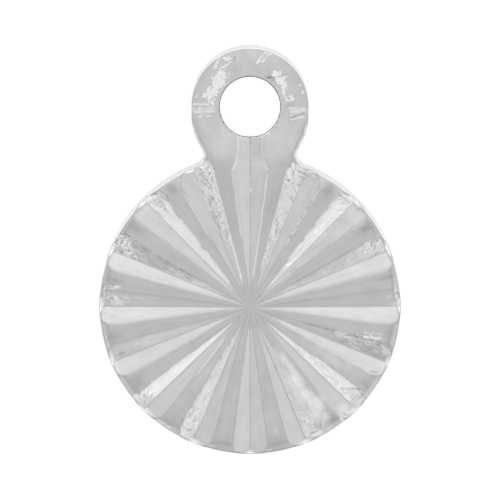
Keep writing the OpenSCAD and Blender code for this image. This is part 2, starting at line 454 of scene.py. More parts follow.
# How the flaws are drawn, in millimetres where nothing else is said
flaws = {
    "crumpleMargin": 0.4,        # degrees beside a crumpled stretch that are looked at
    "crumpleStart": 0.7,         # length over which it sets in, and how far that line strays
    "crumpleWander": 0.35,
    "roughBlend": (0.05, 0.10),  # widths over which its sides and its outer end blend in, if it is rough
    "softBlend": (0.30, 0.50),   # and if it is only folded or toned
    "spotReach": 2,              # in half widths of a spot
    "spotFall": 1.3,
    "spotRagged": 0.5,
    "scrapeReach": 1.5,          # in half lengths of a scrape
    "scrapeEdge": (0.98, 0.80),  # where it starts and where it is whole, as shares of its half size
    "scrapeRagged": 0.7,
    "creaseReach": 0.3,
    "creaseWander": 0.025,
    "creaseEnds": 8,             # its ends die away over one eighth of it
    "beadReach": 4,              # in half widths of a bead
    "beadWander": 0.05,
    "beadEnds": 1.5,             # degrees over which its ends die away
    "beadShade": 40,             # painted shade beside it for each millimetre of its height, and at the most
    "beadShadeMost": 0.6,
    "ridgeReach": 0.12,
    "ridgeWidth": 0.024,         # half width of the burr along a flute
    "ridgeWander": 0.010,
    "ridgeStart": 0.4,           # lengths over which its two ends die away
    "ridgeEnd": 0.3,
    "burrHighlight": 70,             # painted highlight on burrs and beads for each millimetre of their height
}


def foldsAt(x, y, grain, seed):
    # small flat scales, each with its own tilt
    place = Vector((x / grain, y / grain, seed))
    near = noise.voronoi(place)[1][0]
    tilt = noise.cell_vector(near * 7.31)  # neighbours fall into different cells and draw different tilts
    off = place - near
    return grain * (off.x * (tilt.x * 2 - 1) + off.y * (tilt.y * 2 - 1))


def crumpleAt(x, y, r, angle):
    # height of the crumpled stretches at a point of the face, and its marks
    height, marks = 0.0, [0.0] * len(markNames)
    margin = flaws["crumpleMargin"]
    for i, stretchOfFace in enumerate(crumples):
        a0, a1, r0, r1, curls, pebbles, glitter, folds, grain, stretch, bright, dark = stretchOfFace
        if not (r0 < r < r1 and a0 - margin < angle < a1 + margin):
            continue
        arc = math.radians(angle - (a0 + a1) / 2) * r
        side = min(angle - a0, a1 - angle) * math.radians(1) * r
        start = r + flaws["crumpleWander"] * noiseAt(x, y, 1.9, i * 3.7)
        rough = curls + pebbles + dark > 0.1
        sideBlend, endBlend = flaws["roughBlend" if rough else "softBlend"]
        mask = smoothStep(-0.01, sideBlend, side) * smoothStep(r0, r0 + flaws["crumpleStart"], start)
        mask *= smoothStep(r1, r1 - endBlend, r)
        if mask > 0:
            height += mask * folds * foldsAt(r / stretch, arc, grain, i * 2.7)
            patch = Vector((r * 2.6 / stretch, arc * (1.6 + 0.9 * stretch), i * 5.1 + 9))
            patchy = smoothStep(-0.35, 0.25, noise.noise(patch))
            # bright is made matte with painted light, and dark is painted shade over the stretch
            here = (curls * patchy, pebbles * (0.4 + 0.6 * patchy), glitter * (0.3 + 0.7 * patchy),
                    bright * patchy**3, dark * (1 - 0.5 * patchy))
            marks = stronger(marks, [mask * value for value in here])
    return height, marks


def spotAt(r, angle):
    # how much painted light and painted shade the soft spots lay at a point of the face
    tones = [0.0, 0.0]
    for i, (middleAngle, middle, half, width, bright, dark) in enumerate(litAndShadedSpots):
        arc = math.radians(angle - middleAngle) * r
        along, across = (r - middle) / half, arc / width
        if max(abs(along), abs(across)) > flaws["spotReach"]:
            continue
        off = math.hypot(along, across) + flaws["spotRagged"] * noiseAt(r, arc, 3.1, i * 2.3)
        share = math.exp(-flaws["spotFall"] * max(off, 0)**2)
        tones = stronger(tones, (bright * share, dark * share))
    return tones


def scrapeAt(x, y):
    # marks of the scrapes at a point of the face
    marks = [0.0] * len(markNames)
    for i, (cx, cy, half, width, turn, bright, dark, curls) in enumerate(scrapes):
        dx, dy = x - cx, y - cy
        if max(abs(dx), abs(dy)) > half * flaws["scrapeReach"]:
            continue
        c, s = math.cos(math.radians(turn)), math.sin(math.radians(turn))
        u, v = (dx * c + dy * s) / half, (dy * c - dx * s) / width
        ragged = flaws["scrapeRagged"] * (noiseAt(x, y, 5, i * 1.3) + noiseAt(x, y, 13, i * 1.3))
        mask = smoothStep(*flaws["scrapeEdge"], math.hypot(u, v) + ragged)
        here = (curls, 0.3 * curls, 0.15 * curls, bright, dark)
        marks = stronger(marks, [mask * value for value in here])
    return marks


def creaseAt(x, y):
    # depth of the fine lines at a point of the face, and how bright and how dark they are; the dark is
    # painted shade
    drop, tones = 0.0, [0.0, 0.0]
    for i, (x0, y0, x1, y1, width, bend, depth, bright, dark, gaps) in enumerate(creases):
        long = math.hypot(x1 - x0, y1 - y0)
        t = ((x - x0) * (x1 - x0) + (y - y0) * (y1 - y0)) / long**2
        off = ((x - x0) * (y1 - y0) - (y - y0) * (x1 - x0)) / long
        if not 0 < t < 1 or abs(off) > flaws["creaseReach"]:
            continue
        off += bend * math.sin(math.pi * t) + flaws["creaseWander"] * noiseAlong(t * long, 4, i * 3.1)
        share = min(1, flaws["creaseEnds"] * t, flaws["creaseEnds"] * (1 - t)) * math.exp(-(off / width)**2)
        if gaps:
            share *= shownAt(gaps, t * long, 7, i * 3.1, least=0.6)
        drop += depth * share
        tones = stronger(tones, (bright * share, dark * share))
    bright, dark = tones
    return drop, bright * (1 - dark), dark


def beadAt(r, angle, inside):
    # height of the burrs and beads along the rim, and the lines of painted shade on their inner sides
    height, dark = 0.0, 0.0
    for fromAngle, toAngle, inset, width, top, gaps in rimBeads:
        if not fromAngle < angle < toAngle or abs(inside - inset) > flaws["beadReach"] * width:
            continue
        arc = math.radians(angle) * r
        off = inside - inset + flaws["beadWander"] * noiseAlong(arc, 2.2, fromAngle, inset * 30)
        ends = min(1, min(angle - fromAngle, toAngle - angle) / flaws["beadEnds"])
        share = ends * shownAt(gaps, arc, 5, fromAngle)
        height = max(height, top * share * math.exp(-(off / width)**2))
        shade = min(flaws["beadShade"] * top, flaws["beadShadeMost"])
        dark = max(dark, shade * share * math.exp(-((off - 2 * width) / width)**2))
    return height, dark


def sortRidges():
    # the lines along the flutes by the number of their groove, each with its side of that groove
    found = {}
    for angle, fromR, toR, height, gaps in ridgeLines:
        number = round(angle / size["pitch"])
        side = (angle > number * size["pitch"]) - (angle < number * size["pitch"])
        found.setdefault(number % size["grooves"], []).append((side, fromR, toR, height, gaps, angle))
    return found


ridgesOfGroove = sortRidges()


def ridgeAt(number, along, across, half):
    # height of the burrs along a groove, whose half width is given
    height = 0.0
    for side, fromR, toR, top, gaps, angle in ridgesOfGroove.get(number, []):
        off = across if side == 0 else side * across - half
        if not fromR < along < toR or abs(off) > flaws["ridgeReach"]:
            continue
        off += flaws["ridgeWander"] * noiseAlong(along, 3, angle)
        share = min(1, (along - fromR) / flaws["ridgeStart"], (toR - along) / flaws["ridgeEnd"])
        if gaps:
            share *= shownAt(gaps, along, 4.5, angle)
        height += top * share * math.exp(-(off / flaws["ridgeWidth"])**2)
    return height


# Marks along the edges: painted shade along the rim of the disc, painted light on the lower lip of the hole
# and painted shade on its upper lip, and rubbing with a line of tarnish along the sides of the neck. Pairs
# say where a mark starts and where it is whole, in millimetres where nothing else is said
edgeLightShadeAndWear = {
    "rimBand": (0.14, 0.08),         # distances inside the rim of the disc
    # painted shade along the rim of the disc, darker round its lower half
    "rimShade": 0.2,
    "rimShadeMore": 0.3,           # added round the lower half
    "rimMoreBelow": (1.5, 0.5),
    "rimBelow": (5.9, 5.4),          # heights under which the rim is tarnished at all
    "lipBand": (0.10, 0.02),         # distances from the hole
    "lipShade": 0.7,               # painted shade on its upper part
    "lipShadeAbove": (0.2, 0.8),   # from the centre of the hole, in its radii
    "lipLight": 0.9,                   # painted light on its lower part
    "lipLightBelow": (0.4, -0.6),
    "neckAbove": (5.85, 6.05),
    "neckBelow": (7.5, 7.1),
    "neckBand": (0.14, 0.10),        # distances inside the sides of the neck
    "neckRub": 0.8,
    "neckTarnish": 0.35,             # a dark line inside the rubbed band
    "neckLine": 0.17,
    "neckLineWidth": 0.025,
    "neckWander": 0.04,
}


def rimShadeAt(inside, y):
    # painted shade along the rim, more of it round the lower half
    share = edgeLightShadeAndWear["rimShade"] + edgeLightShadeAndWear["rimShadeMore"] * smoothStep(*edgeLightShadeAndWear["rimMoreBelow"], y)
    return share * smoothStep(*edgeLightShadeAndWear["rimBand"], inside) * smoothStep(*edgeLightShadeAndWear["rimBelow"], y)


def edgeLightAndWearAt(x, y, inside):
    # how bright the lower lip of the hole is with painted light and the sides of the neck with rubbing, and
    # how dark the upper lip is with painted shade and a line along the neck with tarnish
    lip = smoothStep(*edgeLightShadeAndWear["lipBand"], holeDistance(x, y))
    up = (y - size["holeY"]) / size["holeRadius"]
    bright = edgeLightShadeAndWear["lipLight"] * lip * smoothStep(*edgeLightShadeAndWear["lipLightBelow"], up)
    dark = edgeLightShadeAndWear["lipShade"] * lip * smoothStep(*edgeLightShadeAndWear["lipShadeAbove"], up)
    neckSide = smoothStep(*edgeLightShadeAndWear["neckAbove"], y) * smoothStep(*edgeLightShadeAndWear["neckBelow"], y)
    if neckSide > 0:
        off = inside + edgeLightShadeAndWear["neckWander"] * noise.noise(Vector((x, y * 4, 2)))
        line = math.exp(-((off - edgeLightShadeAndWear["neckLine"]) / edgeLightShadeAndWear["neckLineWidth"])**2)
        bright = max(bright, edgeLightShadeAndWear["neckRub"] * neckSide * smoothStep(*edgeLightShadeAndWear["neckBand"], off))
        dark = max(dark, edgeLightShadeAndWear["neckTarnish"] * neckSide * line)
    return bright, dark


def rollAt(inside, y):
    # how far the lands have fallen off towards the rim, less so on the neck and the loop
    share = 1 + (size["loopRoll"] - 1) * smoothStep(size["loopRollFrom"], size["loopRollTo"], y)
    return share * size["rollSlope"] * softMax(size["rollFrom"] - inside, size["rollBlend"])


def bottomShift(number):
    # how far the bottom of a groove lies off its middle, as a share of half its width
    before, after = fluteSides.get(number, (1, 1))
    return (after - before) / (after + before)


def veeAt(number, along, across):
    # depth of a groove at a place along it and across it
    growth = grooveGrowth(along)
    before, after = fluteSides.get(number, (1, 1))
    ramp = size["grooveDepth"] / size["grooveSlopeWidth"]
    half = size["grooveSlopeWidth"] * growth
    depth = ramp * half * 2 * before * after / (before + after)
    if number == 0:
        depth = min(depth, size["grooveDepth"] * grooveGrowth(size["neckDeepest"]))
        depth += (size["neckDepth"] - depth) * smoothStep(size["neckFrom"], size["neckTo"], along)
    across -= half * bottomShift(number)
    ramp *= before if across < 0 else after
    rounding = size["ridgeRound"] + size["ridgeRoundGain"] * growth
    bottom = math.sqrt(across * across + (size["bottomRound"] * rounding)**2)
    vee = softMax(depth - ramp * bottom, rounding)
    if number != 0:
        late = smoothStep(size["lateFadeFrom"], size["lateFadeTo"], along)
        vee *= 1 - smoothStep(size["fadeFrom"], size["fadeTo"], along) * late
    return vee


def faceHeight(x, y):
    # height of the face above the back, and its marks
    r, angle = polar(x, y)
    inside = edgeDistance(x, y)
    level = size["thickness"] - size["skin"]
    level -= size["dish"] * max(1 - (r / size["discRadius"])**2, 0)
    level -= size["neckSlope"] * softMax(y - size["neckSlopeFrom"], size["slopeBlend"])
    level += (size["neckSlope"] - size["loopSlope"]) * softMax(y - size["loopSlopeFrom"], size["slopeBlend"])
    height = level
    marks = [0.0] * len(markNames)
    number, along, across = nearestGroove(x, y)
    if r > size["spotRadius"] and y < size["holeY"] and (r < size["fadeTo"] or number == 0):
        aboveLip = y - (size["holeY"] - size["holeRadius"])
        vee = veeAt(number, along, across)
        height -= vee * smoothStep(size["neckEndTo"], size["neckEndFrom"], aboveLip)
        bead, beadShade = beadAt(r, angle, inside)
        lift = max(ridgeAt(number, along, across, size["grooveSlopeWidth"] * grooveGrowth(along)), bead)
        height += lift
        # painted light and shade: the spots' bright and dark, the highlight on burrs and beads by their
        # height, the shade beside beads and along the rim
        bright, dark = spotAt(r, angle)
        marks[scrapedAndLitPlace] = max(min(lift * flaws["burrHighlight"], 1), bright)
        marks[shadeAndTarnishPlace] = max(dark, beadShade, rimShadeAt(inside, y))
    lift, found = crumpleAt(x, y, r, angle)
    height += lift
    marks = stronger(stronger(marks, found), scrapeAt(x, y))
    drop, bright, dark = creaseAt(x, y)
    height -= drop
    # painted light and painted shade on the lip of the hole, rubbing and tarnish on the neck
    rubbedAndLit, shadeAndTarnish = edgeLightAndWearAt(x, y, inside)
    marks[scrapedAndLitPlace] = max(marks[scrapedAndLitPlace], bright, rubbedAndLit)
    marks[shadeAndTarnishPlace] = max(marks[shadeAndTarnishPlace], dark, shadeAndTarnish)
    wave = Vector((x / size["wavePitch"], y / size["wavePitch"], 0.3))
    height += size["waviness"] * (noise.noise(wave) - 0.5 + 0.4 * noise.noise(wave * 2.7))
    height = min(height, softMin(height, level - rollAt(inside, y), size["rollMeet"]))
    edge = min(max(1 - (inside - size["wallDraft"]) / size["edgeRound"], 0), 1)
    height -= size["edgeDrop"] * (1 - math.sqrt(1 - edge * edge))
    return min(height, size["thickness"]), marks


def facetAngles(r):
    # angles round a ring, with points on every edge of a flute and closer together beside it
    flute = math.degrees(math.atan2(size["grooveSlopeWidth"] * grooveGrowth(r), r))
    land = size["pitch"] - 2 * flute
    crowding = 0.4  # how much closer the points stand at the two ends of a span
    angles = []
    for k in range(size["grooves"]):
        start = k * size["pitch"]
        shift, nextShift = flute * bottomShift(k), flute * bottomShift((k + 1) % size["grooves"])
        landStart, landEnd = start + flute, start + flute + land
        spans = ((start + shift, flute - shift), (landStart, land), (landEnd, flute + nextShift))
        for begin, width in spans:
            count = max(1, round(math.radians(width) * r / size["step"]))
            for i in range(count):
                t = i / count
                angles.append(begin + width * (t - crowding * math.sin(2 * math.pi * t) / (2 * math.pi)))
    return angles


def outlinePoints():
    # points round the back of the casting, each with the direction that points out of the metal
    points = []
    joint = math.degrees(math.atan2(size["hollowX"], size["hollowY"]))
    clear = joint + 0.2  # the rim's points stop just short of the hollows
    for angle in facetAngles(size["discRadius"]):
        if clear < angle < 360 - clear:
            out = Vector((math.sin(math.radians(angle)), math.cos(math.radians(angle))))
            points.append((out * size["discRadius"], out))

    def arc(cx, cy, radius, fromAngle, toAngle, hollow):
        count = max(2, round(abs(math.radians(toAngle - fromAngle)) * radius / size["step"]))
        for i in range(count):
            a = math.radians(fromAngle + (toAngle - fromAngle) * i / count)
            out = Vector((math.sin(a), math.cos(a)))
            points.append((Vector((cx, cy)) + out * radius, -out if hollow else out))

    # clockwise from the left end of the disc's rim: hollow, loop, hollow
    hx, hy = size["hollowX"], size["hollowY"]
    low = math.degrees(math.atan2(hx, hy - size["lowerY"]))
    arc(-hx, hy, size["neckHollow"], 180 - joint, 180 - low, True)
    arc(0, size["lowerY"], size["loopRadius"], -low, -90, False)
    straight = size["holeY"] - size["lowerY"]
    count = round(straight / size["step"])
    for i in range(count):
        points.append((Vector((-size["loopRadius"], size["lowerY"] + straight * i / count)), Vector((-1, 0))))
    arc(0, size["holeY"], size["loopRadius"], -90, 90, False)
    for i in range(count):
        points.append((Vector((size["loopRadius"], size["holeY"] - straight * i / count)), Vector((1, 0))))
    arc(0, size["lowerY"], size["loopRadius"], 90, low, False)
    arc(hx, hy, size["neckHollow"], 180 + low, 180 + joint, True)
    return points


def holePoints():
    # points round the hole, also with the direction out of the metal
    count = round(2 * math.pi * size["holeRadius"] / size["step"])
    points = []
    for i in range(count):
        a = 2 * math.pi * i / count
        inward = Vector((math.sin(a), math.cos(a)))
        points.append((Vector((0, size["holeY"])) + inward * size["holeRadius"], -inward))
    return points


def fillPoints(holeInset):
    # points of the face inside its rim: rings on the disc, rows on the neck and the loop
    step = size["step"]
    gap = 0.6 * step  # keeps them clear of the rings at the rim and round the hole

    def insideRim(x, y):
        return edgeDistance(x, y) > size["wallDraft"] + size["edgeRound"] + gap

    points = []
    r = 1.2 * step
    while r < size["ringsTo"]:
        for angle in facetAngles(r):
            a = math.radians(angle)
            x, y = r * math.sin(a), r * math.cos(a)
            if insideRim(x, y):
                points.append((x, y))
        r += size["innerStep"] if r < size["innerRadius"] else step
    rowStep = step * math.sqrt(3) / 2
    rows = math.ceil((size["holeY"] + size["loopRadius"] - size["rowsFrom"]) / rowStep)
    columns = math.ceil(size["loopRadius"] / step)
    for j in range(rows):
        y = size["rowsFrom"] + j * rowStep
        for i in range(-columns, columns + 1):
            x = (i + 0.5 * (j % 2)) * step
            clear = insideRim(x, y) and holeDistance(x, y) > holeInset + gap
            if clear and math.hypot(x, y) > r - 0.3 * step:
                points.append((x, y))
    return points


def backPoints(inset):
    # points of the back inside its outline
    step = size["backStep"]
    gap = 0.4 * step
    columns = math.ceil(size["discRadius"] / step)
    rows = math.ceil((size["holeY"] + size["loopRadius"]) / step)
    points = []
    for j in range(-columns, rows + 1):
        for i in range(-columns, columns + 1):
            x, y = (i + 0.5 * (j % 2)) * step, j * step
            if edgeDistance(x, y) > inset + gap and holeDistance(x, y) > gap:
                points.append((x, y))
    return points


def fillBetween(outer, inner, loose):
    # triangles between the outer ring and the hole; gives points, triangles and the places of both rings
    points = [Vector(p) for p in outer + inner + loose]
    n, m = len(outer), len(inner)
    edges = [(i, (i + 1) % n) for i in range(n)] + [(n + i, n + (i + 1) % m) for i in range(m)]
    result = delaunay_2d_cdt(points, edges, [list(range(n))], 1, 1e-7)
    verts, faces, origins = result[0], result[2], result[3]
    place = {}
    for new, olds in enumerate(origins):
        for old in olds:
            place[old] = new
    ring = {place[n + i] for i in range(m)}
    # a triangle that has all its corners on the inner ring lies in the hole
    kept = [tuple(f) for f in faces if not ring.issuperset(f)]
    return verts, kept, [place[i] for i in range(n)], [place[n + i] for i in range(m)]


def addObject(name, data):
    thing = bpy.data.objects.new(name, data)
    bpy.context.scene.collection.objects.link(thing)
    return thing


def buildCasting():
    verts, faces, slots, wallShare, marksOfPoints = [], [], [], [], []
    faceSlot, backSlot = 0, 1  # places of the two materials

    def addPoint(x, y, z, marks=(0.0,) * len(markNames), wall=0.0):
        verts.append((x * mm, y * mm, z * mm))
        marksOfPoints.append(marks)
        wallShare.append(wall)
        return len(verts) - 1

    def addFace(corners, slot=faceSlot):
        faces.append(corners)
        slots.append(slot)

    outline, hole = outlinePoints(), holePoints()
    lip = size["holeRound"]
    outer = [tuple(p - out * (size["wallDraft"] + size["edgeRound"])) for p, out in outline]
    inner = [tuple(p - out * lip) for p, out in hole]
    points, triangles, outerPlace, innerPlace = fillBetween(outer, inner, fillPoints(lip))
    top = []
    for p in points:
        z, marks = faceHeight(p.x, p.y)
        top.append(addPoint(p.x, p.y, z, marks))
    for t in triangles:
        addFace(tuple(top[i] for i in t))
    print("face meshed:", len(points), "points")

    def wallRings(ring, first, draft, edgeRound, drop, turns, levels, backRound, wallShade):
        # rings from the face down to the back; first is the ring of the face, whose marks run on weaker;
        # wallShade is the share of painted shade that the wall gets
        carried, backTurns = 0.5, 3
        rings = [first]
        for k in range(turns - 1, -1, -1):
            a = math.pi / 2 * k / turns
            row, edge = [], []
            for p, out in ring:
                q = p - out * (draft + edgeRound * (1 - math.cos(a)))
                z, marks = faceHeight(q.x, q.y)
                z -= drop * (1 - math.sin(a))
                edge.append(z)
                marks = [carried * mark for mark in marks]
                row.append(addPoint(q.x, q.y, z, marks, wallShade * (1 - math.sin(a))))
            rings.append(row)
        for share in levels:
            row = []
            for (p, out), high in zip(ring, edge):
                level = backRound + (high - backRound) * share
                dent = size["wallWaves"] * (1 + noiseAt(p.x, p.y, 1.3, level * 2))
                q = p - out * (draft * share + dent * math.sin(math.pi * share))
                row.append(addPoint(q.x, q.y, level, wall=wallShade))
            rings.append(row)
        for k in range(backTurns + 1 if backRound else 1):
            a = math.pi / 2 * k / backTurns
            inset = backRound * (1 - math.cos(a))
            level = backRound * (1 - math.sin(a))
            rings.append([addPoint(*(p - out * inset), level, wall=wallShade) for p, out in ring])
        return rings

    def bridge(rings):
        for upper, lower in zip(rings, rings[1:]):
            n = len(upper)
            for i in range(n):
                j = (i + 1) % n
                addFace((upper[i], upper[j], lower[j], lower[i]))

    outerRings = wallRings(outline, [top[i] for i in outerPlace], draft=size["wallDraft"],
                           edgeRound=size["edgeRound"], drop=0, turns=6, levels=(0.85, 0.6, 0.4, 0.2, 0.04),
                           backRound=size["backRound"], wallShade=1.0)
    innerRings = wallRings(hole, [top[i] for i in innerPlace], draft=0, edgeRound=lip, drop=lip, turns=4,
                           levels=(0.75, 0.5, 0.25), backRound=0, wallShade=0.3)
    bridge(outerRings)
    bridge(innerRings)
    print("walls built")

    backInset = size["backRound"]
    outer = [tuple(p - out * backInset) for p, out in outline]
    inner = [tuple(p) for p, out in hole]
    points, triangles, outerPlace, innerPlace = fillBetween(outer, inner, backPoints(backInset))
    back = {}
    for ring, places in ((outerRings[-1], outerPlace), (innerRings[-1], innerPlace)):
        for vertex, place in zip(ring, places):
            back[place] = vertex
    for i, p in enumerate(points):
        if i not in back:
            sink = size["backWaves"] * (1 + noiseAt(p.x, p.y, 0.6, 5))
            back[i] = addPoint(p.x, p.y, sink)
    for t in triangles:
        addFace(tuple(back[i] for i in t)[::-1], backSlot)

    mesh = bpy.data.meshes.new("discPendantMetal")
    mesh.from_pydata(verts, [], faces)
    mesh.polygons.foreach_set("material_index", slots)
    mesh.polygons.foreach_set("use_smooth", [True] * len(faces))
    # share of painted shade on the walls, which also makes them rougher
    mesh.attributes.new("wall", "FLOAT", "POINT").data.foreach_set("value", wallShare)
    for name, values in zip(markNames, zip(*marksOfPoints)):
        mesh.attributes.new(name, "FLOAT", "POINT").data.foreach_set("value", values)
    mesh.update()
    holeEdge = set(innerRings[-1])
    for edge in mesh.edges:
        if edge.vertices[0] in holeEdge and edge.vertices[1] in holeEdge:
            edge.use_edge_sharp = True
    casting = addObject("discPendantMetal", mesh)
    print("casting meshed:", len(verts), "points,", sum(len(f) - 2 for f in faces), "triangles")
    return casting


def addMath(tree, operation, *values):
    # math node fed by sockets and numbers
    node = tree.nodes.new("ShaderNodeMath")
    node.operation = operation
    for socket, value in zip(node.inputs, values):
        if isinstance(value, bpy.types.NodeSocket):
            tree.links.new(value, socket)
        else:
            socket.default_value = value
    return node.outputs[0]


def addRange(tree, value, fromRange, toRange=(0, 1), kind="LINEAR"):
    # takes a value from one range to another
    node = tree.nodes.new("ShaderNodeMapRange")
    node.interpolation_type = kind
    for name, level in zip(("From Min", "From Max", "To Min", "To Max"), (*fromRange, *toRange)):
        node.inputs[name].default_value = level
    tree.links.new(value, node.inputs["Value"])
    return node.outputs["Result"]


# Node group shared by both finishes: the fine skin of a cast surface. Sizes and heights are in millimetres
def makeCastSkin():
    group = bpy.data.node_groups.new("castSkin", "ShaderNodeTree")
    sockets = group.interface
    inputs = {"Grain Size": 0.06, "Grain Depth": 0.003, "Cloud Size": 0.9, "Curl Size": 0.3,
              "Curl Depth": 0.02, "Pebble Size": 0.1, "Pebble Depth": 0.03, "Fleck Size": 0.2,
              "Curled": 0.0, "Pebbled": 0.0}
    for name, value in inputs.items():
        sockets.new_socket(name=name, in_out="INPUT", socket_type="NodeSocketFloat").default_value = value
    for name in ("Height", "Cloud", "Streak", "Burr", "Furrow", "Fleck", "Seam"):
        sockets.new_socket(name=name, in_out="OUTPUT", socket_type="NodeSocketFloat")
    nodes, links = group.nodes, group.links
    given = nodes.new("NodeGroupInput")
    result = nodes.new("NodeGroupOutput")
    place = nodes.new("ShaderNodeTexCoord").outputs["Object"]

    def compute(operation, *values):
        return addMath(group, operation, *values)

    def pitch(socketName):
        # object coordinates in metres become pitches of the named size
        return compute("DIVIDE", 1 / mm, given.outputs[socketName])

    def clouds(where, scale, detail, rough, bend=0.0):
        # noise; the scale is a number or, for a size that a material sets, a socket
        tex = nodes.new("ShaderNodeTexNoise")
        tex.inputs["Detail"].default_value = detail
        tex.inputs["Roughness"].default_value = rough
        tex.inputs["Distortion"].default_value = bend
        links.new(where, tex.inputs["Vector"])
        if isinstance(scale, bpy.types.NodeSocket):
            links.new(scale, tex.inputs["Scale"])
        else:
            tex.inputs["Scale"].default_value = scale
        return tex.outputs["Fac"]

    def shaped(value, fromMin, fromMax):
        return addRange(group, value, (fromMin, fromMax), kind="SMOOTHSTEP")

    grain = clouds(place, pitch("Grain Size"), 3, 0.6)
    cloud = clouds(place, pitch("Cloud Size"), 4, 0.55)

    # the arc round the disc and the radius, drawn out so that the marks run along the flutes
    split = nodes.new("ShaderNodeSeparateXYZ")
    links.new(place, split.inputs[0])
    turn = compute("ARCTAN2", split.outputs["X"], split.outputs["Y"])
    squares = [compute("POWER", split.outputs[axis], 2) for axis in ("X", "Y")]
    reach = compute("SQRT", compute("ADD", *squares))

    def fanned(acrossFlutes, alongFlutes):
        node = nodes.new("ShaderNodeCombineXYZ")
        links.new(compute("MULTIPLY", turn, acrossFlutes), node.inputs["X"])
        links.new(compute("MULTIPLY", reach, alongFlutes), node.inputs["Y"])
        return node.outputs[0]

    alongFlutes = fanned(5 * mm, 0.6)

    def lineWhere(value, level, inner, outer):
        # 1 along the line where the value crosses the level, and 0 away from it
        off = compute("ABSOLUTE", compute("SUBTRACT", value, level))
        return compute("SUBTRACT", 1, shaped(off, inner, outer))

    # curled burrs run where the noise crosses its middle, each with a furrow on one side; the material paints
    # glints on the burrs and shade in the furrows
    curl = clouds(alongFlutes, pitch("Curl Size"), 1.0, 0.5, 0.5)
    unbroken = shaped(clouds(place, compute("MULTIPLY", pitch("Curl Size"), 0.5), 2, 0.5), 0.36, 0.50)
    burr = compute("MULTIPLY", lineWhere(curl, 0.5, 0.04, 0.09), unbroken)
    furrow = compute("MULTIPLY", lineWhere(curl, 0.62, 0.015, 0.045), unbroken)
    burrs = compute("MULTIPLY", compute("SUBTRACT", burr, furrow),
                    compute("MULTIPLY", given.outputs["Curled"], given.outputs["Curl Depth"]))
    links.new(burr, result.inputs["Burr"])
    links.new(furrow, result.inputs["Furrow"])

    # flecks are islands of the noise, with thin dark seams round them; the material paints glints on the
    # flecks and shade in the seams
    fleck = clouds(alongFlutes, pitch("Fleck Size"), 1.0, 0.5, 0.4)
    links.new(shaped(fleck, 0.52, 0.58), result.inputs["Fleck"])
    links.new(lineWhere(fleck, 0.45, 0.01, 0.04), result.inputs["Seam"])

    scales = nodes.new("ShaderNodeTexVoronoi")
    scales.feature = "SMOOTH_F1"
    links.new(alongFlutes, scales.inputs["Vector"])
    links.new(pitch("Pebble Size"), scales.inputs["Scale"])
    pebbles = compute("MULTIPLY", scales.outputs["Distance"],
                      compute("MULTIPLY", given.outputs["Pebbled"], given.outputs["Pebble Depth"]))

    # streaks fan out from the centre of the disc
    streak = clouds(fanned(1, 0.035 / mm), 22.0, 3, 0.55)

    height = compute("MULTIPLY", grain, given.outputs["Grain Depth"])
    height = compute("SUBTRACT", compute("ADD", height, burrs), pebbles)
    links.new(height, result.inputs["Height"])
    links.new(cloud, result.inputs["Cloud"])
    links.new(streak, result.inputs["Streak"])
    return group


castSkin = makeCastSkin()

faceFinish = {
    "light": 0.95,
    "dull": 0.86,
    # painted shade: the walls are darker, standing in for the contact shade that they reflect, fading in over
    # the edge round
    "wall": 0.68,
    # tone of scrapes and of painted light
    "scrapedAndLit": 1.0,
    # tone of painted shade and tarnish
    "shadeAndTarnish": 0.50,
    # tone of the painted shade in seams and furrows
    "seamShade": 0.56,
    "smoothRoughness": 0.14,
    "dullRoughness": 0.19,
    "curledRoughness": 0.12,
    "scrapedRoughness": 1.0,
    "wallRoughness": 0.35,
    "skin": {"Grain Size": 0.07, "Grain Depth": 0.003, "Cloud Size": 0.8, "Curl Size": 0.29,
             "Curl Depth": 0.014, "Pebble Size": 0.15, "Pebble Depth": 0.030, "Fleck Size": 0.27},
}
backFinish = {
    "light": 0.88,
    "dull": 0.80,
    # painted shade: the walls are darker, standing in for the contact shade that they reflect
    "wall": 0.78,
    # tone of scrapes and of painted light
    "scrapedAndLit": 0.95,
    # tone of painted shade and tarnish
    "shadeAndTarnish": 0.60,
    # tone of the painted shade in seams and furrows
    "seamShade": 0.60,
    "smoothRoughness": 0.36,
    "dullRoughness": 0.46,
    "curledRoughness": 0.36,
    "scrapedRoughness": 0.5,
    "wallRoughness": 0.42,
    "skin": {"Grain Size": 0.05, "Grain Depth": 0.004, "Cloud Size": 1.6},
}


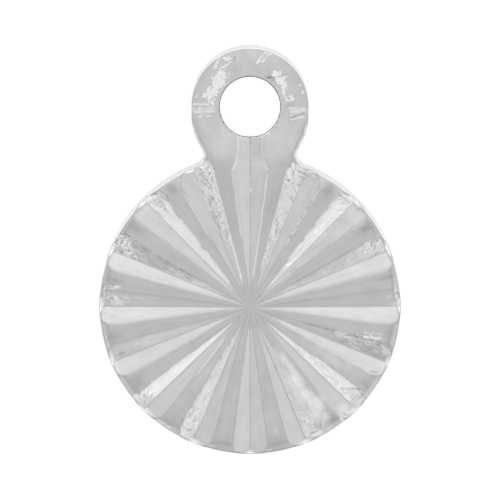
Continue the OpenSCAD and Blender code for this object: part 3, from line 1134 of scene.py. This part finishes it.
def makeSilver(name, finish):
    mat = bpy.data.materials.new(name)
    mat.use_nodes = True
    tree = mat.node_tree
    nodes, links = tree.nodes, tree.links
    shader = nodes["Principled BSDF"]
    shader.inputs["Metallic"].default_value = 1.0
    skin = nodes.new("ShaderNodeGroup")
    skin.node_tree = castSkin
    for socketName, value in finish["skin"].items():
        skin.inputs[socketName].default_value = value
    marks = {}
    for mark in (*markNames, "wall"):
        node = nodes.new("ShaderNodeAttribute")
        node.attribute_name = mark
        marks[mark] = node.outputs["Fac"]
    links.new(marks["curled"], skin.inputs["Curled"])
    links.new(marks["pebbled"], skin.inputs["Pebbled"])

    def blend(value, target, factor):
        # goes from the value to the target, a number for a tone of grey or a roughness
        node = nodes.new("ShaderNodeMix")
        node.inputs["B"].default_value = target
        links.new(value, node.inputs["A"])
        links.new(factor, node.inputs["Factor"])
        return node.outputs["Result"]

    def times(a, b):
        return addMath(tree, "MULTIPLY", a, b)

    def larger(a, b):
        return addMath(tree, "MAXIMUM", a, b)

    texture = skin.outputs
    mixed = addMath(tree, "ADD", texture["Cloud"], texture["Streak"])
    tone = addRange(tree, mixed, (0.75, 1.25), (finish["dull"], finish["light"]))
    # painted glints on the flecks and burrs of crumpled stretches, and painted shade in their seams and
    # furrows
    bright = larger(times(marks["glittering"], texture["Fleck"]), times(marks["curled"], texture["Burr"]))
    dark = larger(times(marks["glittering"], texture["Seam"]), times(marks["curled"], texture["Furrow"]))
    tone = blend(tone, finish["scrapedAndLit"], bright)
    tone = blend(tone, finish["seamShade"], dark)
    # painted shade on the walls
    tone = blend(tone, finish["wall"], marks["wall"])
    # scrapes with painted light, then painted shade with tarnish
    tone = blend(tone, finish["scrapedAndLit"], marks["scrapedAndLit"])
    tone = blend(tone, finish["shadeAndTarnish"], marks["shadeAndTarnish"])
    links.new(tone, shader.inputs["Base Color"])

    ends = (finish["dullRoughness"], finish["smoothRoughness"])
    rough = addRange(tree, texture["Cloud"], (0.35, 0.65), ends)
    rough = blend(rough, finish["curledRoughness"], marks["curled"])
    rough = blend(rough, finish["scrapedRoughness"], bright)
    rough = blend(rough, finish["wallRoughness"], marks["wall"])
    rough = blend(rough, finish["scrapedRoughness"], marks["scrapedAndLit"])
    links.new(rough, shader.inputs["Roughness"])

    bump = nodes.new("ShaderNodeBump")
    bump.inputs["Strength"].default_value = 1.0
    bump.inputs["Distance"].default_value = mm
    links.new(texture["Height"], bump.inputs["Height"])
    links.new(bump.outputs["Normal"], shader.inputs["Normal"])
    return mat


studio = {
    "cameraTilt": 9.4,        # degrees from straight above, towards the loop
    "aimY": 2.096,            # millimetres from the centre of the disc
    "distance": 140.0,
    "lens": 253.0,
    "sensor": 36.0,
    "floorWidth": 600.0,
    "floorGap": 0.02,         # keeps the floor clear of the flat back
    "floorGlow": 1.05,
}

# Light tent: brightness of the cloth by the angle from straight above
tentRings = [
    (0, 0.82), (4, 0.64), (8, 0.5), (12, 0.59), (15, 0.55), (20, 0.46), (28, 0.46), (38, 0.58),
    (42, 0.61), (50, 0.61), (57, 0.62), (63, 0.8), (70, 1.15), (80, 1.26), (88, 1.12), (180, 0.8),
]
tentGain = 2.0  # the ramp only holds tones up to white, so the tent is dimmed in it and lit up again
# Panels behind the cloth; the one with a brightness below zero is a dark card
# angle from straight above, angle clockwise from the loop, inner and outer width in degrees, brightness
tentPanels = [
    (37, 0, 12, 40, 0.26),
    (60, 144, 8, 15, 0.26),
    (60, 216, 8, 15, 0.24),
    (52, 180, 9, 24, -0.1),
    (42, 50, 6, 20, 0.06),
    (42, 305, 6, 22, 0.05),
    (55, 100, 10, 45, 0.06),
    (76, 0, 8, 40, 0.15),
    (74, 75, 6, 20, 0.3),
    (74, 285, 6, 20, 0.3),
]


def makeLightTent():
    world = bpy.data.worlds.new("lightTent")
    bpy.context.scene.world = world
    world.use_nodes = True
    tree = world.node_tree
    nodes, links = tree.nodes, tree.links
    background = nodes["Background"]
    place = nodes.new("ShaderNodeTexCoord")

    def angleTo(aim):
        # angle between a direction into the tent and the aim
        dot = nodes.new("ShaderNodeVectorMath")
        dot.operation = "DOT_PRODUCT"
        dot.inputs[1].default_value = aim
        links.new(place.outputs["Generated"], dot.inputs[0])
        return addMath(tree, "ARCCOSINE", dot.outputs["Value"])

    ramp = nodes.new("ShaderNodeValToRGB")
    ramp.color_ramp.interpolation = "EASE"
    elements = ramp.color_ramp.elements
    while len(elements) < len(tentRings):
        elements.new(0.5)
    for element, (angle, level) in zip(elements, tentRings):
        element.position = angle / 180
        element.color = (level / tentGain, level / tentGain, level / tentGain, 1)
    links.new(addMath(tree, "DIVIDE", angleTo((0, 0, 1)), math.pi), ramp.inputs["Fac"])
    total = ramp.outputs["Color"]
    for polarAngle, turn, innerWidth, outerWidth, level in tentPanels:
        p, t = math.radians(polarAngle), math.radians(turn)
        aim = (math.sin(p) * math.sin(t), math.sin(p) * math.cos(t), math.cos(p))
        width = (math.radians(innerWidth), math.radians(outerWidth))
        glow = addRange(tree, angleTo(aim), width, (level / tentGain, 0), "SMOOTHSTEP")
        total = addMath(tree, "ADD", total, glow)
    links.new(total, background.inputs["Color"])
    background.inputs["Strength"].default_value = tentGain


def makeFloor():
    half = studio["floorWidth"] / 2 * mm
    mesh = bpy.data.meshes.new("paleFloor")
    level = -studio["floorGap"] * mm
    corners = [(-half, -half, level), (half, -half, level), (half, half, level), (-half, half, level)]
    mesh.from_pydata(corners, [], [(0, 1, 2, 3)])
    floor = addObject("paleFloor", mesh)
    mat = bpy.data.materials.new("palePaper")
    mat.use_nodes = True
    shader = mat.node_tree.nodes["Principled BSDF"]
    shader.inputs["Base Color"].default_value = (0.1, 0.1, 0.1, 1)
    shader.inputs["Roughness"].default_value = 0.9
    shader.inputs["Specular IOR Level"].default_value = 0.1
    shader.inputs["Emission Color"].default_value = (1, 1, 1, 1)
    shader.inputs["Emission Strength"].default_value = studio["floorGlow"]
    mesh.materials.append(mat)


def placeCamera():
    tilt = math.radians(studio["cameraTilt"])
    back = Vector((0, math.sin(tilt), math.cos(tilt)))
    up = Vector((0, math.cos(tilt), -math.sin(tilt)))
    aim = Vector((0, studio["aimY"] * mm, 0))
    data = bpy.data.cameras.new("photoView")
    data.lens = studio["lens"]
    data.sensor_width = studio["sensor"]
    data.clip_start = mm
    data.clip_end = 10
    camera = addObject("photoView", data)
    place = aim + back * studio["distance"] * mm
    rows = zip((1, 0, 0), up, back, place)
    camera.matrix_world = Matrix([tuple(row) for row in rows] + [(0, 0, 0, 1)])
    bpy.context.scene.camera = camera


casting = buildCasting()
casting.data.materials.append(makeSilver("platedFace", faceFinish))
casting.data.materials.append(makeSilver("platedBack", backFinish))
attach(casting, "root")
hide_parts("disc_pendant")
print("casting finished")

makeLightTent()
makeFloor()
placeCamera()
bpy.context.scene.view_settings.view_transform = "Standard"
print("studio ready")
